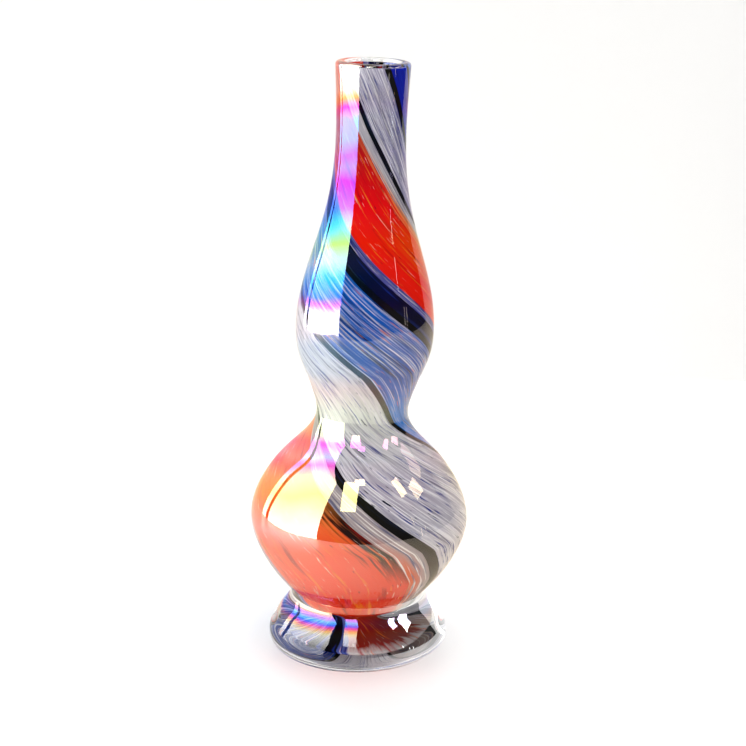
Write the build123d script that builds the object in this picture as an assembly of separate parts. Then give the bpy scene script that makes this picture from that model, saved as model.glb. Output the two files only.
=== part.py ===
"""A hand-blown art glass vase, in millimetres, +Z up, standing on z = 0.

The wall is three layers fused together: a clear inner gather that was blown first, a thin
jacket of coloured glass laid on it as bands and threads, and a clear casing over the jacket.
The blower twisted the hot glass, so every band and thread winds down the wall.
The closed end narrows to a stem and flares again inside a clear foot gathered over it.
The body is round about its own axis, which leans a little on the upright foot.
"""

import os
from math import ceil, cos, radians, sin

from build123d import *

# The outer wall, from the table up: where it swells and narrows, and its radius there.
HEEL_Z, HEEL_R = 24.0, 26.6
LOWER_BULB_RISE, LOWER_BULB_R = 33.0, 46.0
WAIST_RISE, WAIST_R = 46.0, 19.4
UPPER_BULB_RISE, UPPER_BULB_R = 36.0, 28.7
NECK_DROP, NECK_R = 30.0, 14.3
MOUTH_R = 15.3
HEIGHT = 250.0

# Thickness of the three layers of the wall.
CASING_WALL = 1.3
COLOUR_WALL = 0.7
INNER_WALL = 1.4

# The closed end: the floor of the hollow above the stem, and the stem and flare in the foot.
STEM_DROP, STEM_R = 12.0, 7.5
FLOOR_THICKNESS = 8.0
FLARE_Z = 4.8
FLARE_COVER = 13.3  # clear glass between the rim of the flare and the rim of the foot
FLARE_CORE = 1.0  # thickness of the core at the rim of the flare

# The clear foot, its collar over the heel, and the ground hollow where the rod came off.
FOOT_R = 38.3
FOOT_OFFSET = -0.6  # how far along X the foot was set off the middle of the body
FOOT_RIM_Z = 6.0
BASE_INSET = 4.2  # how far the flat underside stops short of the rim
COLLAR_WALL = 2.1
COLLAR_DROP = 0.5  # how far below the heel the collar is slimmest
COLLAR_RISE, COLLAR_FLARE = 5.5, 1.7
COLLAR_SLOPE = 0.45  # the collar's slope at its top edge, outwards for each unit upwards
BASE_SLOPE = 0.35  # the slope of the rim's curl at its lower edge, downwards for each inwards
PONTIL_R, PONTIL_DEPTH = 13.0, 0.9

# The body leans towards +X about the middle of its lower bulb.
LEAN_DEGREES = 1.85

# Bands and threads, by the angle in degrees where each lies at the mouth. An angle of 0
# faces -Y, and angles grow towards +X, which is also the way that the glass winds down.
THREADS = {
    "cobalt_edge_thread": (23.0, 11.0),
    "white_edge_thread": (-48.5, 8.5),
    "blue_edge_thread": (67.0, 8.0),
    "navy_edge_thread": (-196.5, 9.0),
}
RED_FROM, RED_TO = -70.0, -163.0
NAVY_FROM = -173.0

# The cobalt patch and the thread on its edge taper away part way down the upper bulb.
PATCH_DROP, PATCH_TAPER = 84.0, 40.0
PATCH_LAP = 1.0  # degrees that their cutters run past the neighbour's edge

STRETCH = 30.0  # length of the stretches that a curve is cut into before it is turned
SECTION_STEP = 8.0  # height between the sections that a winding cutter is lofted through
CUTTER_REACH = 5.0  # how far a cutter runs past the glass all round
CUTTER_SIDE = 60.0  # widest angle that one straight side of a cutter spans
TIP_SHARE = 0.02  # share of its width that a tapered cutter keeps at its tip
CURVE_STEP = 5.0  # length of wall between the points that an inner curve passes through

# ---------------------------------------------------------------------------------------
# Heights and places that follow from the sizes above, as (height, radius).

wall = CASING_WALL + COLOUR_WALL + INNER_WALL
heel = (HEEL_Z, HEEL_R)
lower_bulb = (HEEL_Z + LOWER_BULB_RISE, LOWER_BULB_R)
waist = (lower_bulb[0] + WAIST_RISE, WAIST_R)
upper_bulb = (waist[0] + UPPER_BULB_RISE, UPPER_BULB_R)
mouth = (HEIGHT - wall / 2, MOUTH_R)
neck = (mouth[0] - NECK_DROP, NECK_R)
stem = (HEEL_Z - STEM_DROP, STEM_R)
flare = (FLARE_Z, FOOT_R - FLARE_COVER)
foot_rim = (FOOT_RIM_Z, FOOT_R)
foot_neck = (HEEL_Z - COLLAR_DROP, HEEL_R + COLLAR_WALL)

# The twist, from the mouth down: where each stretch of wall starts, and the degrees that
# it turns per millimetre of height. Slim glass was stretched and turned the most.
TWIST = [
    (mouth[0], 1.85),
    (mouth[0] - 23.3, 2.25),
    (neck[0] - 28.3, 2.62),
    (upper_bulb[0] + 11.0, 2.72),
    (upper_bulb[0] - 14.0, 1.82),
    (waist[0], 3.4),
    (waist[0] - 13.0, 2.2),
    (lower_bulb[0] + 18.0, 1.8),
    (lower_bulb[0] - 2.0, 1.0),
    (heel[0] + 16.0, 0.4),
    (heel[0] - 4.0, 3.0),
]


def share(low, high, up, out):
    """The place that is a share of the way up and a share of the way out between two."""
    return (low[0] + up * (high[0] - low[0]), low[1] + out * (high[1] - low[1]))


def spot(place):
    """A (height, radius) as a point in the plane that the profiles are drawn in."""
    return Vector(place[1], 0, place[0])


def inset(curve, depth):
    """The curve that runs a fixed depth inside another, which is drawn upwards."""
    count = ceil(curve.length / CURVE_STEP)
    points = []
    for index in range(count + 1):
        along = index / count
        tangent = curve % along
        points.append(curve @ along + depth * Vector(-tangent.Z, 0, tangent.X))
    return Spline(*points)


def stretches(curve):
    """A long curve cut into short ones, so that no face is wound more than part way round."""
    count = ceil(curve.length / STRETCH)
    return [curve.trim(index / count, (index + 1) / count) for index in range(count)]


def turned(*edges):
    """The solid of revolution of the closed profile that these edges make."""
    profile = []
    for edge in edges:
        profile.extend(stretches(edge))
    return Solid.revolve(Face(Wire(profile)), 360, Axis.Z)


def winding(z):
    """How far the glass has turned, in degrees, from the mouth down to a height."""
    total = 0.0
    for index, (top, rate) in enumerate(TWIST):
        bottom = TWIST[index + 1][0] if index + 1 < len(TWIST) else z
        total += rate * max(0.0, top - max(z, bottom))
    return total


def cutter(start, end, low=-CUTTER_REACH, taper=None):
    """A wedge from the axis outwards that winds with the glass, to cut out one band.

    start and end are angles at the mouth. With a taper, the wedge narrows to its tip over
    that height above its lower end.
    """
    high = HEIGHT + CUTTER_REACH
    width = abs(start - end)
    sides = ceil(width / CUTTER_SIDE)
    reach = (max(LOWER_BULB_R, FOOT_R) + CUTTER_REACH) / cos(radians(CUTTER_SIDE / 2))
    count = ceil((high - low) / SECTION_STEP)
    sections = []
    for index in range(count + 1):
        z = low + (high - low) * index / count
        spread = width
        if taper:
            spread = width * min(1.0, max(TIP_SHARE, (z - low) / taper))
        first = winding(z) + (start + end) / 2 - spread / 2
        corners = [Vector(0, 0, z)]
        for side in range(sides + 1):
            angle = radians(first + spread * side / sides)
            corners.append(Vector(reach * sin(angle), -reach * cos(angle), z))
        sections.append(Wire.make_polygon(corners, close=True))
    return Solid.make_loft(sections, ruled=True)


def leaned(solid):
    """A piece of the body, turned from its own axis to the way that it stands."""
    pivot = Pos(0, 0, lower_bulb[0])
    return pivot * Rot(0, LEAN_DEGREES, 0) * pivot.inverse() * solid


def save(solid, name):
    """Write one piece to its own file."""
    solid.label = name
    export_step(solid, f"parts/{name}.step")
    print(f"{name:22s} {solid.volume / 1000:8.2f} cm3  {len(solid.solids())} solid")


os.makedirs("parts", exist_ok=True)

# ---------------------------------------------------------------------------------------
# The curves that the layers share, each drawn upwards.

casing_outer = Spline(
    spot(heel),
    spot(share(heel, lower_bulb, 0.34, 0.51)),
    spot(share(heel, lower_bulb, 0.63, 0.81)),
    spot(lower_bulb),
    spot(share(lower_bulb, waist, 0.39, 0.20)),
    spot(share(lower_bulb, waist, 0.61, 0.48)),
    spot(share(lower_bulb, waist, 0.78, 0.77)),
    spot(waist),
    spot(share(waist, upper_bulb, 0.31, 0.23)),
    spot(share(waist, upper_bulb, 0.50, 0.51)),
    spot(share(waist, upper_bulb, 0.75, 0.87)),
    spot(upper_bulb),
    spot(share(upper_bulb, neck, 0.27, 0.19)),
    spot(share(upper_bulb, neck, 0.52, 0.59)),
    spot(share(upper_bulb, neck, 0.77, 0.90)),
    spot(neck),
    spot(mouth),
)
colour_outer = inset(casing_outer, CASING_WALL)
colour_inner = inset(casing_outer, CASING_WALL + COLOUR_WALL)
hollow = inset(casing_outer, wall)

# Below the heel the jacket runs in under the floor, down the stem and out over the flare.
closed_end = Spline(
    spot(flare),
    spot(share(flare, stem, 0.06, 0.52)),
    spot(share(flare, stem, 0.50, 0.92)),
    spot(stem),
    spot(share(stem, heel, 0.28, 0.22)),
    spot(share(stem, heel, 0.70, 0.72)),
    colour_outer @ 0,
    tangents=[(-1, 0, 0), casing_outer % 0],
)
core = inset(closed_end, COLOUR_WALL)
core_rim = core @ 0 - FLARE_CORE * Vector(0, 0, 1)
core_middle = Vector(0, 0, core_rim.Z)
floor_middle = Vector(0, 0, stem[0] + FLOOR_THICKNESS)
hollow_floor = TangentArc(floor_middle, hollow @ 0, tangent=(1, 0, 0))
lip = ThreePointArc(casing_outer @ 1, Vector(MOUTH_R - wall / 2, 0, HEIGHT), hollow @ 1)

# ---------------------------------------------------------------------------------------
# The inner gather is the bubble that was blown first, with the solid core of the stem.

inner_gather = turned(
    Line(core_middle, core_rim),
    Line(core_rim, core @ 0),
    core,
    colour_inner,
    Line(colour_inner @ 1, hollow @ 1),
    hollow,
    hollow_floor,
    Line(floor_middle, core_middle),
)
save(leaned(inner_gather), "inner_gather")

# The clear casing lies over the jacket and rolls over its end, as the fire-polished lip.
casing = turned(
    casing_outer,
    lip,
    Line(hollow @ 1, colour_outer @ 1),
    colour_outer,
    Line(colour_outer @ 0, casing_outer @ 0),
)
save(leaned(casing), "outer_casing")

# ---------------------------------------------------------------------------------------
# The jacket of colour. Neighbours are cut at the same angle, so they meet face to face.

jacket = turned(
    closed_end,
    colour_outer,
    Line(colour_outer @ 1, colour_inner @ 1),
    colour_inner,
    core,
    Line(core @ 0, closed_end @ 0),
)


def upper(name):
    """The angle at the mouth of the edge of a thread that leads in the winding."""
    angle, width = THREADS[name]
    return angle + width / 2


def lower(name):
    """The angle at the mouth of the other edge of a thread."""
    angle, width = THREADS[name]
    return angle - width / 2


for name in ("white_edge_thread", "blue_edge_thread", "navy_edge_thread"):
    save(leaned(jacket & cutter(upper(name), lower(name))), name)

save(leaned(jacket & cutter(lower("white_edge_thread"), RED_FROM)), "pale_streak_band")
save(leaned(jacket & cutter(RED_FROM, RED_TO)), "red_band")
save(leaned(jacket & cutter(RED_TO, NAVY_FROM)), "lilac_streak_band")
save(leaned(jacket & cutter(NAVY_FROM, upper("navy_edge_thread"))), "navy_band")
blue_to = upper("blue_edge_thread") - 360
save(leaned(jacket & cutter(lower("navy_edge_thread"), blue_to)), "blue_streak_band")

# The cobalt patch and its thread lie in the upper end of the white band.
patch_end = mouth[0] - PATCH_DROP
white = jacket & cutter(lower("blue_edge_thread"), upper("white_edge_thread"))
patch_tool = cutter(
    lower("blue_edge_thread") + PATCH_LAP,
    lower("cobalt_edge_thread"),
    low=patch_end,
    taper=PATCH_TAPER,
)
patch = white & patch_tool
save(leaned(white - patch_tool), "white_frit_band")
thread_tool = cutter(
    upper("cobalt_edge_thread"),
    lower("cobalt_edge_thread") - PATCH_LAP,
    low=patch_end,
    taper=PATCH_TAPER,
)
save(leaned(patch & thread_tool), "cobalt_edge_thread")
save(leaned(patch - thread_tool), "cobalt_patch")

# ---------------------------------------------------------------------------------------
# The clear foot was gathered over the closed end and shaped upright, so the leaning body
# is cut out of it. Its collar runs up over the heel, and its underside is ground.

top_middle = Vector(0, 0, (casing_outer @ 1).Z)
body_form = turned(
    Line(core_middle, core_rim),
    Line(core_rim, closed_end @ 0),
    closed_end,
    Line(colour_outer @ 0, casing_outer @ 0),
    casing_outer,
    Line(casing_outer @ 1, top_middle),
    Line(top_middle, core_middle),
)
collar = (HEEL_Z + COLLAR_RISE, foot_neck[1] + COLLAR_FLARE)
collar_middle = Vector(0, 0, collar[0])
foot_side = Spline(
    spot(collar),
    spot(foot_neck),
    spot(share(foot_neck, foot_rim, 0.26, 0.30)),
    spot(share(foot_neck, foot_rim, 0.54, 0.67)),
    spot(share(foot_neck, foot_rim, 0.77, 0.92)),
    spot(foot_rim),
    tangents=[(-COLLAR_SLOPE, 0, -1), (0, 0, -1)],
)
base_edge = Vector(FOOT_R - BASE_INSET, 0, 0)
foot_edge = Spline(spot(foot_rim), base_edge, tangents=[(0, 0, -1), (-1, 0, -BASE_SLOPE)])
pontil_rim = Vector(PONTIL_R, 0, 0)
pontil_middle = Vector(0, 0, PONTIL_DEPTH)
foot_blank = turned(
    foot_side,
    foot_edge,
    Line(base_edge, pontil_rim),
    TangentArc(pontil_middle, pontil_rim, tangent=(1, 0, 0)),
    Line(pontil_middle, collar_middle),
    Line(collar_middle, spot(collar)),
)
save(Pos(FOOT_OFFSET, 0, 0) * foot_blank - leaned(body_form), "foot")
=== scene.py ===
from math import atan2, cos, hypot, pi, radians, sin

import bmesh
import bpy
import numpy as np
from mathutils import Matrix, Vector


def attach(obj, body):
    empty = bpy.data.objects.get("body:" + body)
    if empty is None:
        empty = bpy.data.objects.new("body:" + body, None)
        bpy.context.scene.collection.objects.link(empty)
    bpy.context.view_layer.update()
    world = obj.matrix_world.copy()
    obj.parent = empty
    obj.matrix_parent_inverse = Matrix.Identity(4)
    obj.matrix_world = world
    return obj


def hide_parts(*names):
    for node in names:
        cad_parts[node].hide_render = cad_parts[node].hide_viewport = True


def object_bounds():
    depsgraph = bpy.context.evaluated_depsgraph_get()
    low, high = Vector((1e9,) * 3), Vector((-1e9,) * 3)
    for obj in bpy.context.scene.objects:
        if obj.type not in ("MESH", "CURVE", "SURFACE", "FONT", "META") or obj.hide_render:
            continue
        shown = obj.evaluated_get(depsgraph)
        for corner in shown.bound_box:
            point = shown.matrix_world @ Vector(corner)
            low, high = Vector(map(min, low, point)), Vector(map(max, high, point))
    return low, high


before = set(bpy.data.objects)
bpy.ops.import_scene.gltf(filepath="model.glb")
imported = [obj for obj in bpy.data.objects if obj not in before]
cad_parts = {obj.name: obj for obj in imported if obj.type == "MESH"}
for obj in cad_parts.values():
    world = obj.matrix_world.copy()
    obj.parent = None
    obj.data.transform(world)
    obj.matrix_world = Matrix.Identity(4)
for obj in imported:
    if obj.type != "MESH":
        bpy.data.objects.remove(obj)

cad_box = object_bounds()

# ----------------------------------------------------------------------------------- camera and studio
# A pale table that runs back to a pale wall, a tall bright window in two leaves at the left,
# small panes at the right, and a dim room in front. The camera looks a little down.

studio = bpy.context.scene
vase_height = cad_box[1][2] - cad_box[0][2]

camera_data = bpy.data.cameras.new("camera")
camera_data.sensor_width = 36.0
camera_data.lens = 91.06
back, height, down_by, turned_by = 3.04 * vase_height, 1.32 * vase_height, 15.43, 0.456
camera_data.clip_start = 0.01
camera = bpy.data.objects.new("camera", camera_data)
camera.location = (0.0, -back, height)
camera.rotation_euler = (radians(90 - down_by), 0.0, radians(-turned_by))
studio.collection.objects.link(camera)
studio.camera = camera
studio.view_settings.view_transform = "Standard"
studio.cycles.transparent_max_bounces = 40
studio.cycles.max_bounces = 16
studio.cycles.transmission_bounces = 14


def plain(name, colour, roughness):
    """A plain stage material with a faint mottle, so that it isn't one flat colour."""
    material = bpy.data.materials.new(name)
    material.use_nodes = True
    nodes, links = material.node_tree.nodes, material.node_tree.links
    shader = nodes["Principled BSDF"]
    shader.inputs["Roughness"].default_value = roughness
    noise = nodes.new("ShaderNodeTexNoise")
    noise.inputs["Scale"].default_value = 3.0
    ramp = nodes.new("ShaderNodeValToRGB")
    ramp.color_ramp.elements[0].color = (*[0.97 * c for c in colour], 1)
    ramp.color_ramp.elements[1].color = (*colour, 1)
    where = nodes.new("ShaderNodeTexCoord")
    links.new(where.outputs["Object"], noise.inputs["Vector"])
    links.new(noise.outputs["Fac"], ramp.inputs["Fac"])
    links.new(ramp.outputs["Color"], shader.inputs["Base Color"])
    return material


def slab(name, corners, material):
    """A flat sheet for the table or the wall, which isn't attached to the object."""
    mesh = bmesh.new()
    mesh.faces.new([mesh.verts.new(corner) for corner in corners])
    data = bpy.data.meshes.new(name)
    mesh.to_mesh(data)
    mesh.free()
    data.materials.append(material)
    piece = bpy.data.objects.new(name, data)
    studio.collection.objects.link(piece)
    return piece


wall_left, wall_right = Vector((-3.0, 0.68, -0.0002)), Vector((3.0, 0.19, -0.0002))
up = Vector((0.0, 0.0, 2.5))
wall_end = wall_left.lerp(wall_right, 0.62)
table_left, table_right = wall_left.lerp(wall_right, 0.37), wall_left.lerp(wall_right, 0.63)
near_left, near_right = table_left.copy(), table_right.copy()
near_left.y = near_right.y = -0.66
slab("table", [near_left, near_right, table_right, table_left],
     plain("table_white", (0.93, 0.93, 0.93), 0.35))

# The wall has only a front, so it doesn't hide the vase from behind.
wall_white = plain("wall_white", (0.86, 0.855, 0.84), 0.8)
nodes, links = wall_white.node_tree.nodes, wall_white.node_tree.links
side = nodes.new("ShaderNodeNewGeometry")
nothing = nodes.new("ShaderNodeBsdfTransparent")
one_sided = nodes.new("ShaderNodeMixShader")
links.new(side.outputs["Backfacing"], one_sided.inputs["Fac"])
links.new(nodes["Principled BSDF"].outputs["BSDF"], one_sided.inputs[1])
links.new(nothing.outputs["BSDF"], one_sided.inputs[2])
links.new(one_sided.outputs["Shader"], nodes["Material Output"].inputs["Surface"])
wall = slab("wall", [wall_left, wall_end, wall_end + up, wall_left + up], wall_white)
wall.visible_shadow = False

# The room is dim where it is mirrored, and pale where it is seen straight or through glass.
world = bpy.data.worlds.new("room")
world.use_nodes = True
room = world.node_tree.nodes["Background"]
room.inputs["Color"].default_value = (1.0, 0.97, 0.94, 1)
ray = world.node_tree.nodes.new("ShaderNodeLightPath")
straight = world.node_tree.nodes.new("ShaderNodeMath")
straight.operation = "MAXIMUM"
world.node_tree.links.new(ray.outputs["Is Camera Ray"], straight.inputs[0])
world.node_tree.links.new(ray.outputs["Is Transmission Ray"], straight.inputs[1])
lit = world.node_tree.nodes.new("ShaderNodeMapRange")
lit.inputs["To Min"].default_value = 0.05
lit.inputs["To Max"].default_value = 0.9
world.node_tree.links.new(straight.outputs["Value"], lit.inputs["Value"])
world.node_tree.links.new(lit.outputs["Result"], room.inputs["Strength"])
studio.world = world


def softbox(name, place, target, width, height, radiance, lights=True, mirrored=True):
    """A rectangular softbox that faces a target; radiance is how bright its face looks."""
    light = bpy.data.lights.new(name, "AREA")
    light.shape = "RECTANGLE"
    light.size, light.size_y = width, height
    light.energy = radiance * pi * width * height
    lamp = bpy.data.objects.new(name, light)
    lamp.location = place
    lamp.rotation_euler = (Vector(target) - Vector(place)).to_track_quat("-Z", "Y").to_euler()
    lamp.visible_camera = False
    lamp.visible_diffuse = lights
    lamp.visible_glossy = mirrored
    lamp.visible_transmission = mirrored
    studio.collection.objects.link(lamp)
    return lamp


def pane(name, azimuth, elevation, width, height, radiance, reach=1.3):
    """A small pane seen only as a reflection, placed by its direction from the vase in
    degrees: azimuth from -Y towards +X, and elevation. Its sizes are in degrees too."""
    a, e = radians(azimuth), radians(elevation)
    middle = Vector((0.0, 0.0, 0.09))
    place = middle + reach * Vector((sin(a) * cos(e), -cos(a) * cos(e), sin(e)))
    return softbox(name, place, middle, reach * radians(width), reach * radians(height),
                   radiance, lights=False)


# Lamps that light the vase but aren't mirrored in it, then a window in two leaves that is
# mirrored but lights nothing, with the dark post between them.
softbox("left_light", (-1.25, -1.0, 1.30), (0.0, -1.0, 1.30), 3.0, 2.4, 2.1, mirrored=False)
softbox("overhead", (0.6, -0.3, 1.9), (0.3, 0.2, 0.0), 1.8, 1.8, 2.5, mirrored=False)
softbox("front_fill", (0.4, -1.5, 1.1), (0.0, 0.0, 0.1), 1.2, 1.0, 2.2, mirrored=False)
softbox("back_fill", (-0.4, 1.5, 1.1), (0.0, 0.0, 0.1), 1.2, 1.0, 1.4, mirrored=False)
softbox("left_leaf", (-0.8, -0.294, 0.9), (0.0, -0.294, 0.9), 1.128, 2.0, 6.5, lights=False)
softbox("left_leaf_back", (-0.8, 0.415, 0.9), (0.0, 0.415, 0.9), 0.14, 2.0, 6.5, lights=False)
post_foot, post_head = Vector((-0.79, 0.27, 0.0)), Vector((-0.79, 0.27, 1.9))
across_post = Vector((0.0, 0.075, 0.0))
post = slab("post", [post_foot, post_foot + across_post, post_head + across_post, post_head],
            plain("post_dark", (0.03, 0.012, 0.008), 0.5))
post.visible_camera = False
post.visible_diffuse = False
post.visible_shadow = False
pane("high_pane", -13, 49, 16, 26, 6.5)
pane("top_pane", 4, 62, 10, 6, 6.0)
pane("right_pane", 65, 45, 8, 15, 6.5)
pane("far_right_pane", 85, 34, 13, 12, 6.0)
pane("back_right_pane", 108, 38, 14, 10, 2.5)
pane("sparkle", 61, 15, 0.6, 8, 9.0)
pane("sparkle_low", 68, 0, 0.5, 12, 5.0)
pane("sparkle_lower", 73, -1, 0.5, 12, 5.0)

# ---------------------------------------------------------------------------------------- outer casing
# The last clear gather, blown over the colour. It is the smooth outside of the vase with the
# fire-polished lip, and its skin was fumed while hot, so it has a thin rainbow film. It is
# fused to the colour under it and stops where the foot is fused on.

# Places up the outside wall, each a height and a radius in mm about an axis that leans a
# little to the right of the upright foot.
PLACES = [
    (24.0, 26.6), (35.2, 36.5), (44.8, 42.3), (57.0, 46.0), (74.9, 40.7), (85.1, 33.2),
    (92.9, 25.5), (103.0, 19.4), (114.2, 21.5), (121.0, 24.1), (130.0, 27.5), (139.0, 28.7),
    (160.4, 26.0), (180.3, 20.2), (200.1, 15.7), (218.3, 14.3), (248.3, 15.3),
]
MM = 0.001
TURN = 2 * pi
LEAN, BELLY_HEIGHT = radians(1.85), 57.0
pivot = Matrix.Translation((0.0, 0.0, BELLY_HEIGHT * MM))
leaning = pivot @ Matrix.Rotation(LEAN, 4, "Y") @ pivot.inverted()
LAYER_STEPS = 192


def smooth_line(places, step, first=None, last=None):
    """A line of points every step mm along the smooth curve through some (height, radius)
    places, given the slopes of its two ends as (up, out) where they matter."""
    spots = np.array(places, float)
    gaps = np.hypot(*np.diff(spots, axis=0).T)
    count = len(spots)
    matrix, right = np.zeros((count, count)), np.zeros((count, 2))
    slopes = np.diff(spots, axis=0) / gaps[:, None]
    for i in range(1, count - 1):
        matrix[i, i - 1] = gaps[i]
        matrix[i, i] = 2 * (gaps[i - 1] + gaps[i])
        matrix[i, i + 1] = gaps[i - 1]
        right[i] = 3 * (gaps[i] * slopes[i - 1] + gaps[i - 1] * slopes[i])
    for i, j, end in ((0, 1, first), (count - 1, count - 2, last)):
        matrix[i, i] = 1 if end else 2
        matrix[i, j] = 0 if end else 1
        right[i] = end if end else 3 * slopes[min(i, j)]
    tangents = np.linalg.solve(matrix, right)
    line = []
    for i in range(count - 1):
        pieces = max(1, round(gaps[i] / step))
        for k in range(pieces + (i == count - 2)):
            t = k / pieces
            a, b = spots[i], spots[i + 1]
            line.append(
                (1 + 2 * t) * (1 - t) ** 2 * a + t * (1 - t) ** 2 * gaps[i] * tangents[i]
                + t * t * (3 - 2 * t) * b - t * t * (1 - t) * gaps[i] * tangents[i + 1]
            )
    return line


def inside(line, depth):
    """A line of points a depth in mm inside another that is drawn upwards."""
    points = np.array(line)
    along = np.gradient(points, axis=0)
    along /= np.hypot(*along.T)[:, None]
    return list(points + depth * np.column_stack((along[:, 1], -along[:, 0])))


def spin_line(mesh, line, material=0):
    """Spin a line of (height, radius) points in mm right round the upright axis."""
    verts = [mesh.verts.new((0.0, -radius * MM, height * MM)) for height, radius in line]
    edges = [mesh.edges.new(pair) for pair in zip(verts, verts[1:])]
    before = set(mesh.faces)
    bmesh.ops.spin(mesh, geom=verts + edges, cent=(0, 0, 0), axis=(0, 0, 1), angle=TURN,
                   steps=LAYER_STEPS, use_merge=True)
    for face in mesh.faces:
        if face not in before:
            face.material_index = material


def finished(mesh, name, materials, matrix=None):
    """Close a mesh's seams and poles, turn its faces outwards and make it an object."""
    bmesh.ops.remove_doubles(mesh, verts=mesh.verts, dist=1e-6)
    bmesh.ops.dissolve_degenerate(mesh, edges=mesh.edges, dist=1e-7)
    bmesh.ops.recalc_face_normals(mesh, faces=mesh.faces)
    if matrix:
        bmesh.ops.transform(mesh, matrix=matrix, verts=mesh.verts)
    for face in mesh.faces:
        face.smooth = True
    data = bpy.data.meshes.new(name)
    mesh.to_mesh(data)
    mesh.free()
    for material in materials:
        data.materials.append(material)
    piece = bpy.data.objects.new(name, data)
    studio.collection.objects.link(piece)
    return piece


# How thick the casing, the layer of colour and the gather are, in mm.
CASING, JACKET, GATHER = 1.3, 0.7, 1.4
wall_line = smooth_line(PLACES, 1.0)
hollow_line = inside(wall_line, CASING + JACKET + GATHER)
jacket_outer = inside(wall_line, CASING)
jacket_inner = inside(wall_line, CASING + JACKET)


def glass_nodes(name):
    """A new material's nodes and links, with only its output in it."""
    material = bpy.data.materials.new(name)
    material.use_nodes = True
    nodes = material.node_tree.nodes
    nodes.remove(nodes["Principled BSDF"])
    return material, nodes, material.node_tree.links


def mixed(nodes, links, fac, first, second):
    """A mix of two shaders."""
    mix = nodes.new("ShaderNodeMixShader")
    if hasattr(fac, "links"):
        links.new(fac, mix.inputs["Fac"])
    else:
        mix.inputs["Fac"].default_value = fac
    links.new(first, mix.inputs[1])
    links.new(second, mix.inputs[2])
    return mix.outputs["Shader"]


def maths(nodes, links, operation, first, second=0.0, third=0.0):
    """A Math node on sockets or numbers."""
    node = nodes.new("ShaderNodeMath")
    node.operation = operation
    for socket, value in zip(node.inputs, (first, second, third)):
        if hasattr(value, "links"):
            links.new(value, socket)
        else:
            socket.default_value = value
    return node.outputs["Value"]


def ramp_of(nodes, links, fac, stops):
    """A colour ramp over a socket, from (position, colour) stops."""
    ramp = nodes.new("ShaderNodeValToRGB")
    elements = ramp.color_ramp.elements
    while len(elements) < len(stops):
        elements.new(1.0)
    for element, (position, colour) in zip(elements, stops):
        element.position = position
        element.color = (*colour, 1)
    links.new(fac, ramp.inputs["Fac"])
    return ramp.outputs["Color"]


def lamps_pass(nodes, links, shader):
    """Let lamplight and bounced light straight through clear glass to what lies in it."""
    path = nodes.new("ShaderNodeLightPath")
    clear = nodes.new("ShaderNodeBsdfTransparent")
    soft = maths(nodes, links, "MAXIMUM", path.outputs["Is Shadow Ray"],
                 path.outputs["Is Diffuse Ray"])
    return mixed(nodes, links, soft, shader, clear.outputs["BSDF"])


def finish_glass(material, nodes, links, shader):
    """Give a material its surface."""
    links.new(shader, nodes["Material Output"].inputs["Surface"])
    return material


FILM_TOP = 260


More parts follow.
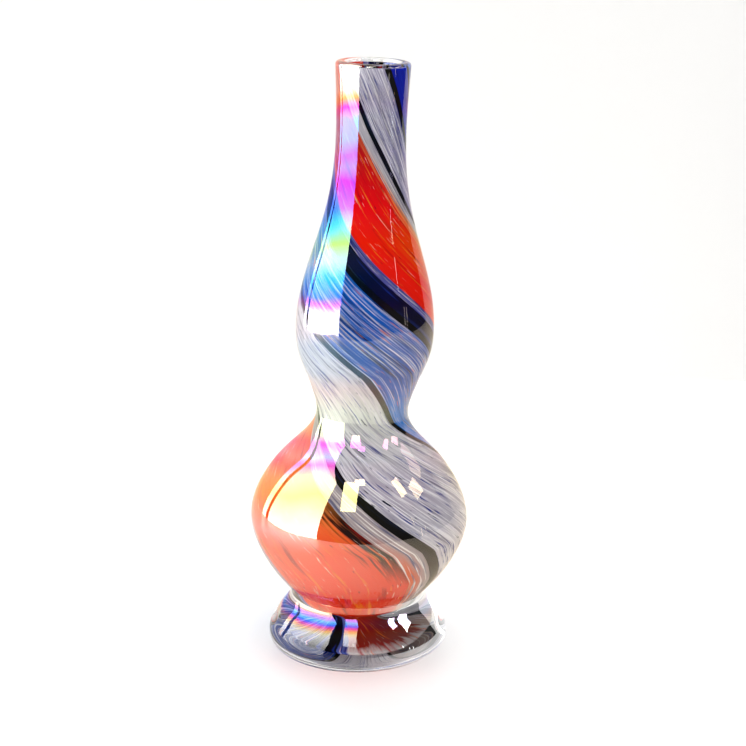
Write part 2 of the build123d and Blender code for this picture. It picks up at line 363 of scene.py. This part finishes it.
def clear_glass(name, film=None, film_share=0.0, wander=0.0, thins=None):
    """Clear glass that bends what lies behind it, with an iridescent film if one is given:
    a list of (height in mm, colour) from the table up. The film pales towards +X, where the
    fumes hardly reached. On the foot it begins between two heights, which thins gives, and
    is a silvery mirror towards +X."""
    material, nodes, links = glass_nodes(name)
    where = nodes.new("ShaderNodeTexCoord")
    ripple = nodes.new("ShaderNodeTexNoise")
    ripple.inputs["Scale"].default_value = 28.0
    ripple.inputs["Detail"].default_value = 1.0
    links.new(where.outputs["Object"], ripple.inputs["Vector"])
    bump = nodes.new("ShaderNodeBump")
    bump.inputs["Strength"].default_value = 0.5
    bump.inputs["Distance"].default_value = 0.0008
    links.new(ripple.outputs["Fac"], bump.inputs["Height"])
    bend = nodes.new("ShaderNodeBsdfRefraction")
    bend.inputs["IOR"].default_value = 1.5
    bend.inputs["Roughness"].default_value = 0.0
    mirror = nodes.new("ShaderNodeBsdfGlossy")
    mirror.inputs["Roughness"].default_value = 0.015
    links.new(bump.outputs["Normal"], mirror.inputs["Normal"])
    fresnel = nodes.new("ShaderNodeFresnel")
    fresnel.inputs["IOR"].default_value = 1.5
    share = fresnel.outputs["Fac"]
    if film:
        split = nodes.new("ShaderNodeSeparateXYZ")
        links.new(where.outputs["Object"], split.inputs["Vector"])
        noise = nodes.new("ShaderNodeTexNoise")
        noise.inputs["Scale"].default_value = 45.0
        noise.inputs["Detail"].default_value = 2.0
        links.new(where.outputs["Object"], noise.inputs["Vector"])
        facing = nodes.new("ShaderNodeLayerWeight")
        facing.inputs["Blend"].default_value = 0.35
        level = maths(nodes, links, "MULTIPLY", split.outputs["Z"], 1 / (FILM_TOP * MM))
        drift = maths(nodes, links, "MULTIPLY_ADD", noise.outputs["Fac"], 2 * wander, -wander)
        level = maths(nodes, links, "ADD", level, drift)
        turned_away = maths(nodes, links, "MULTIPLY_ADD", facing.outputs["Facing"], wander, level)
        colour = ramp_of(nodes, links, turned_away, [(z / FILM_TOP, c) for z, c in film])
        thin = nodes.new("ShaderNodeMapRange")
        thin.inputs["From Min"].default_value = 0.0
        thin.inputs["From Max"].default_value = 0.022
        thin.inputs["To Max"].default_value = 0.8
        links.new(split.outputs["X"], thin.inputs["Value"])
        pale = maths(nodes, links, "MAXIMUM", thin.outputs["Result"], share)
        whiten = nodes.new("ShaderNodeMix")
        whiten.data_type = "RGBA"
        links.new(pale, whiten.inputs["Factor"])
        links.new(colour, whiten.inputs["A"])
        whiten.inputs["B"].default_value = (1.0, 0.82, 0.60, 1)
        links.new(whiten.outputs["Result"], mirror.inputs["Color"])
        coat = maths(nodes, links, "MULTIPLY_ADD", thin.outputs["Result"], -0.7 * film_share,
                     film_share)
        if thins:
            fade = nodes.new("ShaderNodeMapRange")
            fade.inputs["From Min"].default_value = thins[0] * MM
            fade.inputs["From Max"].default_value = thins[1] * MM
            fade.inputs["To Max"].default_value = film_share
            links.new(split.outputs["Z"], fade.inputs["Value"])
            coat = maths(nodes, links, "MULTIPLY_ADD", thin.outputs["Result"], 0.5,
                         fade.outputs["Result"])
            whiten.inputs["B"].default_value = (1, 1, 1, 1)
        share = maths(nodes, links, "MULTIPLY_ADD", share, 1 - film_share, coat)
    body = mixed(nodes, links, share, bend.outputs["BSDF"], mirror.outputs["BSDF"])
    return finish_glass(material, nodes, links, lamps_pass(nodes, links, body))


def joined_glass(name):
    """Where two pieces of clear glass are fused nothing shows, so light runs straight on."""
    material, nodes, links = glass_nodes(name)
    clear = nodes.new("ShaderNodeBsdfTransparent")
    return finish_glass(material, nodes, links, clear.outputs["BSDF"])


def seen(red, green, blue):
    """A colour given as it looks on a screen, as the linear colour a shader takes."""
    return tuple((c / 255) ** 2.2 for c in (red, green, blue))


# The film's colour by height: it is thickest, and so has run through most colours, on the
# neck and on the waist.
body_film = [(z, seen(*colour)) for z, colour in [
    (24, (200, 170, 150)), (34, (235, 220, 195)), (57, (235, 215, 190)), (64, (255, 255, 250)),
    (77, (255, 245, 150)), (83, (255, 250, 190)), (88.5, (225, 60, 200)), (91.5, (190, 195, 255)),
    (96, (240, 60, 220)), (100, (240, 245, 205)), (110, (235, 250, 205)), (120, (235, 190, 180)),
    (128, (150, 190, 220)), (139, (150, 190, 220)), (144, (255, 245, 255)), (153, (255, 245, 255)),
    (156, (225, 60, 240)), (158.5, (40, 110, 255)), (166, (20, 190, 255)), (173, (200, 245, 250)),
    (179, (190, 250, 110)), (186, (60, 220, 255)), (192, (0, 125, 255)), (198, (20, 90, 250)),
    (204, (110, 50, 245)), (209, (90, 150, 250)), (214, (130, 110, 250)), (220, (100, 190, 255)),
    (229, (120, 190, 255)), (233.5, (240, 15, 235)), (237.5, (255, 190, 90)), (242, (255, 255, 245)),
]]
skin = clear_glass("iridescent_skin", body_film, 0.15, wander=0.02)
fused = joined_glass("fused_contact")

# The foot's side, edge and hollow underside, which end the casing at the heel.
FOOT_SIDE = [(29.5, 30.4), (23.5, 28.7), (19.0, 31.6), (14.1, 35.1), (10.0, 37.5), (6.0, 38.3)]
FOOT_OFFSET = -0.6
foot_side = smooth_line(FOOT_SIDE, 0.8, first=(-1.0, -0.45), last=(-1.0, 0.0))
foot_edge = smooth_line([(6.0, 38.3), (0.0, 34.1)], 0.6, first=(-1.0, 0.0), last=(-0.33, -0.94))
PONTIL_DEPTH, PONTIL_RADIUS = 0.9, 13
pontil = [(PONTIL_DEPTH * cos(pi / 2 * r / PONTIL_RADIUS), r) for r in range(PONTIL_RADIUS, -1, -1)]
under_foot = [(0.0, 33.0), (0.0, 24.0), (0.0, 14.0)] + pontil


def cut_away(piece, tool):
    """Cut one closed piece by another with a Boolean, and keep the result."""
    modifier = piece.modifiers.new("cut", "BOOLEAN")
    modifier.operation = "DIFFERENCE"
    modifier.solver = "EXACT"
    modifier.object = tool
    bpy.context.view_layer.update()
    result = bpy.data.meshes.new_from_object(
        piece.evaluated_get(bpy.context.evaluated_depsgraph_get()))
    piece.modifiers.clear()
    piece.data = result
    bpy.data.objects.remove(tool)
    return piece


def foot_blank(material):
    """The foot's whole solid form, before the body is taken out of it."""
    mesh = bmesh.new()
    spin_line(mesh, [(29.5, 0.0), (29.5, 16.0)] + foot_side + foot_edge[1:] + under_foot,
              material=material)
    bmesh.ops.translate(mesh, verts=mesh.verts, vec=(FOOT_OFFSET * MM, 0.0, 0.0))
    return mesh


# The lip is a half round from the outside wall to the hollow.
lip_centre = ((wall_line[-1] + hollow_line[-1]) / 2)
lip_radius = hypot(*(wall_line[-1] - hollow_line[-1])) / 2
out = (wall_line[-1] - hollow_line[-1]) / (2 * lip_radius)
over = np.array((out[1], -out[0]))
lip = [lip_centre + lip_radius * (cos(a) * out + sin(a) * over)
       for a in (pi * k / 12 for k in range(13))]
mesh = bmesh.new()
spin_line(mesh, wall_line + lip[1:])
under_casing = [lip[-1], jacket_outer[-1]] + jacket_outer[-2:0:-2]
spin_line(mesh, under_casing + [jacket_outer[0], wall_line[0]], material=1)
casing = finished(mesh, "outer_casing", [skin, fused], leaning)
cut_away(casing, finished(foot_blank(1), "tool", [skin, fused]))
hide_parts("outer_casing")
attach(casing, "root")

# ---------------------------------------------------------------------------------------- inner gather
# The first clear bubble, blown on the pipe. It is the inside wall, the floor of the hollow and
# the solid core of the stem. The colour was rolled on over it and is fused to it all round.

# Below the heel the layers run in under the floor, down a stem and out over a flare.
heel_slope = (0.704, 0.710)
UNDER = [(4.8, 25.0), (5.2, 15.9), (8.4, 8.9), (12.0, 7.5), (15.6, 11.5), (20.9, 20.6),
         tuple(jacket_outer[0])]
under_outer = smooth_line(UNDER, 0.8, first=(0.0, -1.0), last=heel_slope)
under_inner = inside(under_outer, JACKET)

bare = clear_glass("clear_glass")
floor_line = smooth_line([(20.0, 0.0), (21.1, 11.0), tuple(hollow_line[0])], 1.0, first=(0.0, 1.0))
mesh = bmesh.new()
spin_line(mesh, floor_line + hollow_line[1:])
CORE_DROP = 1.0
core_rim = (under_inner[0][0] - CORE_DROP, under_inner[0][1])
spin_line(mesh, [hollow_line[-1], jacket_inner[-1]] + jacket_inner[-2:0:-2]
          + under_inner[::-1] + [core_rim, (core_rim[0], 0.0)], material=1)
gather = finished(mesh, "inner_gather", [bare, fused], leaning)
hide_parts("inner_gather")
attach(gather, "root")

# ------------------------------------------------------------------------------------------------ foot
# A solid clear gather pressed on under the body and flattened with a paddle: a collar round the
# heel, a rounded rim, and a ground hollow where the pontil rod was broken off. It closes over
# the stem and the flare of colour, which show through it, and has the same rainbow film.

foot_film = [(z, seen(*colour)) for z, colour in [
    (2, (255, 255, 255)), (15, (255, 255, 255)), (16.5, (255, 235, 170)), (17.5, (255, 170, 60)),
    (18.3, (235, 60, 150)), (19.2, (50, 60, 240)), (20.2, (60, 190, 255)), (21.3, (200, 120, 255)),
    (22.6, (255, 190, 120)), (24, (255, 240, 200)), (27, (255, 225, 190)),
]]
foot_skin = clear_glass("iridescent_foot_skin", foot_film, 0.12, wander=0.006, thins=(11, 19))

# What the foot closes over: the body's form from the core up to well above the collar.
ABOVE_FOOT = 60
mesh = bmesh.new()
body_top = wall_line[:ABOVE_FOOT]
spin_line(mesh, [(core_rim[0], 0.0), core_rim] + under_outer + body_top + [(body_top[-1][0], 0.0)],
          material=1)
body_form = finished(mesh, "body_form", [skin, fused], leaning)
foot = finished(foot_blank(0), "foot", [foot_skin, fused])
cut_away(foot, body_form)
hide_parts("foot")
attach(foot, "root")

# ----------------------------------------------------------------------------------- dark edge threads
# Thin canes of near-black glass, laid along the edges of the white, blue and navy bands before
# the bubble was twisted, so they wind round the vase from the mouth to the flare in the foot.
# They are fused between the gather and the casing, like every band of the colour layer.

# The bands stand GAP mm clear of the clear layers. Below each height in TWIST the glass turns
# by the degrees a mm beside it.
GAP = 0.03
TWIST = [(248.3, 1.85), (225.0, 2.25), (190.0, 2.62), (150.0, 2.72), (125.0, 1.82),
         (103.0, 3.4), (90.0, 2.2), (75.0, 1.8), (55.0, 1.0), (40.0, 0.4), (20.0, 3.0)]
mid_outer = inside(wall_line, CASING + GAP)
mid_inner = inside(wall_line, CASING + JACKET - GAP)
low_outer = inside(under_outer, GAP)
low_inner = inside(under_outer, JACKET - GAP)
band_outer = low_outer[:-1] + mid_outer
band_inner = low_inner[:-1] + mid_inner
lengths = np.concatenate(([0.0], np.cumsum(np.hypot(*np.diff(np.array(band_outer), axis=0).T))))
below_mouth = lengths[-1] - lengths

# Streaks are placed as they were laid: round a rod of this radius in m, and down this many mm.
LAID_RADIUS = 0.02
LAID_LENGTH = 290


def winding(z):
    """How far the glass has turned, in radians, from the mouth down to a height in mm."""
    total = 0.0
    for (top, rate), (bottom, _) in zip(TWIST, TWIST[1:] + [(z, 0.0)]):
        total += rate * max(0.0, top - max(z, bottom))
    return radians(total)


def laid_band(name, start, end, material, ends_at=None, taper=None, proud=0.0):
    """A band of the jacket from one angle at the mouth to another, wound as the glass was
    turned. It keeps where each point was laid before the winding, for its streaks."""
    mesh = bmesh.new()
    laid = mesh.verts.layers.float_vector.new("laid")
    across = mesh.verts.layers.float.new("across")
    first, width = radians(min(start, end)), radians(abs(start - end))
    steps = max(6, round(LAYER_STEPS * width / TURN))
    rows = []
    for (z1, r1), (z2, r2), s in zip(band_outer, band_inner, below_mouth):
        if ends_at and z1 < ends_at:
            continue
        row = [mesh.verts.new((0, -r * MM, z * MM))
               for z, r in ((z1, r1 + proud), (z2, r2 - proud))]
        for vert in row:
            vert[laid] = (0, 0, s * MM)
        rows.append(row)
    faces = [mesh.faces.new((a[0], b[0], b[1], a[1])) for a, b in zip(rows, rows[1:])]
    bmesh.ops.rotate(mesh, verts=mesh.verts, matrix=Matrix.Rotation(first, 3, "Z"))
    bmesh.ops.spin(mesh, geom=list(mesh.verts) + list(mesh.edges) + faces, cent=(0, 0, 0),
                   axis=(0, 0, 1), angle=width, steps=steps)
    middle = first + width / 2
    for vert in mesh.verts:
        x, y, z = vert.co
        angle = atan2(x, -y) - middle
        angle = (angle + pi) % TURN - pi
        if taper:
            share = min(1.0, max(0.02, (z / MM - ends_at) / taper))
            angle *= share
        angle += middle
        s = vert[laid][2]
        vert[laid] = (LAID_RADIUS * sin(angle), -LAID_RADIUS * cos(angle), s)
        vert[across] = (angle - first) / width
        turn = angle + winding(z / MM)
        radius = hypot(x, y)
        vert.co = (radius * sin(turn), -radius * cos(turn), z)
    piece = finished(mesh, name, [material], leaning)
    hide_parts(name)
    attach(piece, "root")
    return piece


def streaky(name, along, layers, patches=(), through=0.35, holes=None):
    """Coloured glass. Its colours run along the band from the mouth down, as (mm, colour).
    Patches lie over them, as (colour, (mm where it starts, is full, fades, ends), (share
    across from, to)). Then come streaks and specks, as (colour, width, length, low, high,
    seed). Holes are thin spots, as (width, length, low, high, seed, least cover)."""
    material, nodes, links = glass_nodes(name)
    laid = nodes.new("ShaderNodeAttribute")
    laid.attribute_name = "laid"
    split = nodes.new("ShaderNodeSeparateXYZ")
    links.new(laid.outputs["Vector"], split.inputs["Vector"])
    down = maths(nodes, links, "MULTIPLY", split.outputs["Z"], 1 / (LAID_LENGTH * MM))
    colour = ramp_of(nodes, links, down, [(mm / LAID_LENGTH, c) for mm, c in along])

    def field(width, length, seed):
        placed = nodes.new("ShaderNodeMapping")
        placed.inputs["Location"].default_value = (seed, 1.7 * seed, 2.3 * seed)
        thin, long = 1 / (width * MM), 1 / (length * MM)
        placed.inputs["Scale"].default_value = (thin, thin, long)
        links.new(laid.outputs["Vector"], placed.inputs["Vector"])
        noise = nodes.new("ShaderNodeTexNoise")
        noise.inputs["Scale"].default_value = 1.0
        noise.inputs["Detail"].default_value = 3.0
        noise.inputs["Roughness"].default_value = 0.55
        links.new(placed.outputs["Vector"], noise.inputs["Vector"])
        return noise.outputs["Fac"]

    def within(value, low, high):
        spread = nodes.new("ShaderNodeMapRange")
        spread.inputs["From Min"].default_value = low
        spread.inputs["From Max"].default_value = high
        links.new(value, spread.inputs["Value"])
        return spread.outputs["Result"]

    def tinted(under, tint, share):
        mix = nodes.new("ShaderNodeMix")
        mix.data_type = "RGBA"
        links.new(share, mix.inputs["Factor"])
        links.new(under, mix.inputs["A"])
        mix.inputs["B"].default_value = (*tint, 1)
        return mix.outputs["Result"]

    across = nodes.new("ShaderNodeAttribute")
    across.attribute_name = "across"
    for number, (tint, (top, full, ends, bottom), (one, other)) in enumerate(patches):
        ragged = maths(nodes, links, "MULTIPLY_ADD", field(1.6, 14, 70 + number), 0.05, down)
        place = maths(nodes, links, "ADD", ragged, -0.025)
        here = maths(nodes, links, "MULTIPLY", within(place, top / LAID_LENGTH, full / LAID_LENGTH),
                     within(place, bottom / LAID_LENGTH, ends / LAID_LENGTH))
        frayed = maths(nodes, links, "MULTIPLY_ADD", field(1.2, 20, 80 + number), 0.5,
                       across.outputs["Fac"])
        side = within(maths(nodes, links, "ADD", frayed, -0.25), one, other)
        colour = tinted(colour, tint, maths(nodes, links, "MULTIPLY", here, side))
    for tint, width, length, low, high, seed in layers:
        colour = tinted(colour, tint, within(field(width, length, seed), low, high))
    face = nodes.new("ShaderNodeBsdfDiffuse")
    back = nodes.new("ShaderNodeBsdfTranslucent")
    links.new(colour, face.inputs["Color"])
    links.new(colour, back.inputs["Color"])
    shader = mixed(nodes, links, through, face.outputs["BSDF"], back.outputs["BSDF"])
    if holes:
        width, length, low, high, seed, least = holes
        clear = nodes.new("ShaderNodeBsdfTransparent")
        thick = within(field(width, length, seed), low, high)
        thick = maths(nodes, links, "MULTIPLY_ADD", thick, 1 - least, least)
        shader = mixed(nodes, links, thick, clear.outputs["BSDF"], shader)
    return finish_glass(material, nodes, links, shader)


black = streaky("dark_thread", [(0, (0.002, 0.002, 0.003)), (290, (0.002, 0.002, 0.003))], [
    ((0.01, 0.02, 0.06), 1.2, 25, 0.60, 0.75, 3)], through=0.05)

# Where each cane is laid at the mouth, and how wide it is, in degrees round the vase.
THREADS = {"white_edge_thread": (-48.5, 8.5), "blue_edge_thread": (67.0, 8.0),
           "navy_edge_thread": (-196.5, 9.0), "cobalt_edge_thread": (23.0, 11.0)}
thread_start = {name: angle - width / 2 for name, (angle, width) in THREADS.items()}
thread_end = {name: angle + width / 2 for name, (angle, width) in THREADS.items()}
for name in ("white_edge_thread", "blue_edge_thread", "navy_edge_thread"):
    thread = laid_band(name, thread_end[name], thread_start[name], black)

# ------------------------------------------------------------------------------------ pale streak band
# A narrow strip of pale streaked glass between the white band's dark cane and the red band,
# with some red drawn into it. Powdered colour, melted in and fused between the clear layers.

RED_START, RED_END = -70.0, -163.0
pale = streaky("pale_streaks", [(0, (0.60, 0.57, 0.62)), (100, (0.45, 0.42, 0.46)),
                                (290, (0.55, 0.42, 0.38))], [
    ((0.16, 0.15, 0.25), 0.9, 20, 0.55, 0.66, 52),
    ((0.95, 0.90, 0.86), 0.45, 18, 0.56, 0.63, 53)],
    patches=[((0.95, 0.30, 0.05), (25, 60, 100, 130), (0.45, 0.15)),
             ((0.85, 0.14, 0.03), (195, 215, 250, 262), (0.75, 0.25))])
pale_band = laid_band("pale_streak_band", thread_start["white_edge_thread"], RED_START, pale)

# -------------------------------------------------------------------------------------------- red band
# A wide band of selenium red that runs out to orange, with pale seeds and dark specks in it.
# Colour bar melted on the bubble, then twisted and fused between the clear layers.

red = streaky("red_to_orange", [
    (0, (0.80, 0.06, 0.03)), (30, (0.60, 0.01, 0.003)), (55, (1.0, 0.003, 0.001)),
    (110, (1.0, 0.02, 0.002)), (200, (1.0, 0.09, 0.025)), (250, (0.95, 0.025, 0.003)),
    (272, (0.40, 0.02, 0.005)), (290, (0.22, 0.02, 0.008))], [
    ((0.45, 0.0, 0.0), 2.4, 26, 0.56, 0.72, 12),
    ((1.0, 0.22, 0.01), 1.4, 18, 0.60, 0.68, 11),
    ((1.0, 0.80, 0.62), 0.55, 8, 0.665, 0.70, 13),
    ((0.06, 0.0, 0.01), 0.8, 5, 0.70, 0.74, 14)],
    patches=[((1.0, 0.20, 0.002), (58, 95, 125, 160), (0.35, 0.75)),
             ((1.0, 0.33, 0.10), (20, 50, 90, 130), (0.90, 1.0)),
             ((1.0, 0.30, 0.06), (145, 165, 185, 205), (0.2, 0.6)),
             # Painted reflection: this near-black patch, 175 to 222 mm down, lies on the front of the
             # lower bulb and stands in for the dark room mirrored there.
             ((0.02, 0.0, 0.0), (175, 190, 205, 222), (0.86, 0.93)),
             ((0.72, 0.70, 0.70), (280, 284, 300, 320), (-2.0, -1.0))], through=0.4)
red_band = laid_band("red_band", RED_START, RED_END, red)

# ----------------------------------------------------------------------------------- lilac streak band
# A narrow strip of lilac and blue streaks along the red band's lower edge. Crushed colour,
# melted in and fused between the clear layers.

NAVY_START = -173.0
lilac = streaky("lilac_streaks", [(0, (0.35, 0.30, 0.55)), (80, (0.10, 0.10, 0.40)),
                                  (150, (0.12, 0.15, 0.55)), (290, (0.1, 0.15, 0.5))], [
    ((0.02, 0.03, 0.22), 0.9, 22, 0.5, 0.60, 31),
    ((0.85, 0.75, 0.85), 0.5, 16, 0.58, 0.66, 32),
    ((0.85, 0.20, 0.12), 0.6, 9, 0.66, 0.71, 33)])
lilac_band = laid_band("lilac_streak_band", RED_END, NAVY_START, lilac)

# ------------------------------------------------------------------------------------------- navy band
# A stripe of navy glass so deep that it looks black where it is thick. It was laid as one
# strip of colour bar and is fused between the clear layers.

navy = streaky("navy", [(0, (0.002, 0.003, 0.03)), (90, (0.001, 0.001, 0.03)),
                        (120, (0.001, 0.001, 0.004)), (290, (0.002, 0.002, 0.006))], [
    ((0.01, 0.03, 0.30), 2.0, 30, 0.60, 0.75, 21)],
    patches=[((0.03, 0.07, 0.35), (95, 130, 290, 300), (0.28, 0.0))], through=0.08)
navy_band = laid_band("navy_band", NAVY_START, thread_end["navy_edge_thread"], navy)

# ------------------------------------------------------------------------------------ blue streak band
# The wide band of azure glass with fine white and lilac lines and a few pink flecks, combed
# out by the twist. It is fused between the clear layers.

blue = streaky("blue_streaks", [(0, (0.02, 0.17, 0.70)), (90, (0.01, 0.15, 0.65)),
    (125, (0.005, 0.07, 0.45)), (140, (0.005, 0.22, 0.75)), (165, (0.02, 0.28, 0.80)),
    (240, (0.03, 0.17, 0.6)), (275, (0.0, 0.07, 0.50)), (290, (0.0, 0.02, 0.25))], [
    ((0.32, 0.48, 0.85), 1.5, 30, 0.58, 0.72, 41),
    ((0.001, 0.008, 0.10), 1.2, 26, 0.53, 0.63, 42),
    ((0.92, 0.90, 0.95), 0.42, 18, 0.585, 0.635, 43),
    ((0.95, 0.30, 0.16), 0.9, 8, 0.645, 0.69, 44),
    ((0.92, 0.92, 0.98), 0.30, 30, 0.60, 0.64, 45)])
BACK_TO_START = 360.0
blue_band = laid_band("blue_streak_band", thread_start["navy_edge_thread"],
                      thread_end["blue_edge_thread"] - BACK_TO_START, blue)

# ------------------------------------------------------------------------------------- white frit band
# The widest band: coarse white and lavender frit with dark blue flecks, picked up on the hot
# bubble and stretched by the twist. Thin spots let a little light through.

white = streaky("white_frit", [
    (0, (0.48, 0.45, 0.58)), (45, (0.30, 0.28, 0.50)), (70, (0.34, 0.38, 0.62)),
    (100, (0.66, 0.66, 0.72)), (150, (0.88, 0.90, 0.84)), (175, (0.55, 0.50, 0.60)),
    (195, (0.62, 0.60, 0.66)), (225, (0.90, 0.87, 0.84)), (262, (0.86, 0.86, 0.88)),
    (290, (0.95, 0.95, 0.97))], [
    ((0.22, 0.20, 0.28), 2.2, 24, 0.52, 0.70, 60),
    ((0.03, 0.04, 0.28), 0.9, 10, 0.575, 0.645, 61),
    ((0.95, 0.93, 0.96), 0.6, 20, 0.52, 0.60, 62),
    ((0.01, 0.012, 0.06), 1.0, 5, 0.655, 0.685, 63),
    ((1.0, 1.0, 1.0), 0.35, 14, 0.57, 0.615, 64)],
    patches=[((0.07, 0.08, 0.42), (10, 22, 62, 84), (0.38, 0.52))],
    holes=(3.0, 30, 0.3, 0.6, 65, 0.75))
white_band = laid_band("white_frit_band", thread_start["blue_edge_thread"],
                       thread_end["white_edge_thread"], white)

# ---------------------------------------------------------------------------------------- cobalt patch
# A tongue of cobalt blue by the mouth, laid over the edge of the white frit. It narrows down
# the neck and ends on the upper bulb, and is fused under the casing.

cobalt = streaky("cobalt", [(0, (0.002, 0.015, 0.50)), (290, (0.002, 0.01, 0.40))], [
    ((0.01, 0.08, 0.8), 2.0, 25, 0.5, 0.75, 5),
    ((0.001, 0.004, 0.15), 1.6, 18, 0.58, 0.72, 6)], through=0.3)
TONGUE_END, TONGUE_TAPER = 164.3, 40.0
cobalt_patch = laid_band("cobalt_patch", thread_start["blue_edge_thread"],
                         thread_start["cobalt_edge_thread"], cobalt,
                         ends_at=TONGUE_END, taper=TONGUE_TAPER, proud=0.15)

# ---------------------------------------------------------------------------------- cobalt edge thread
# The near-black cane along the cobalt patch's edge, of the same glass as the other threads.
# It narrows and ends with the patch.

cobalt_thread = laid_band("cobalt_edge_thread", thread_end["cobalt_edge_thread"],
                          thread_start["cobalt_edge_thread"], black,
                          ends_at=TONGUE_END, taper=TONGUE_TAPER, proud=0.2)
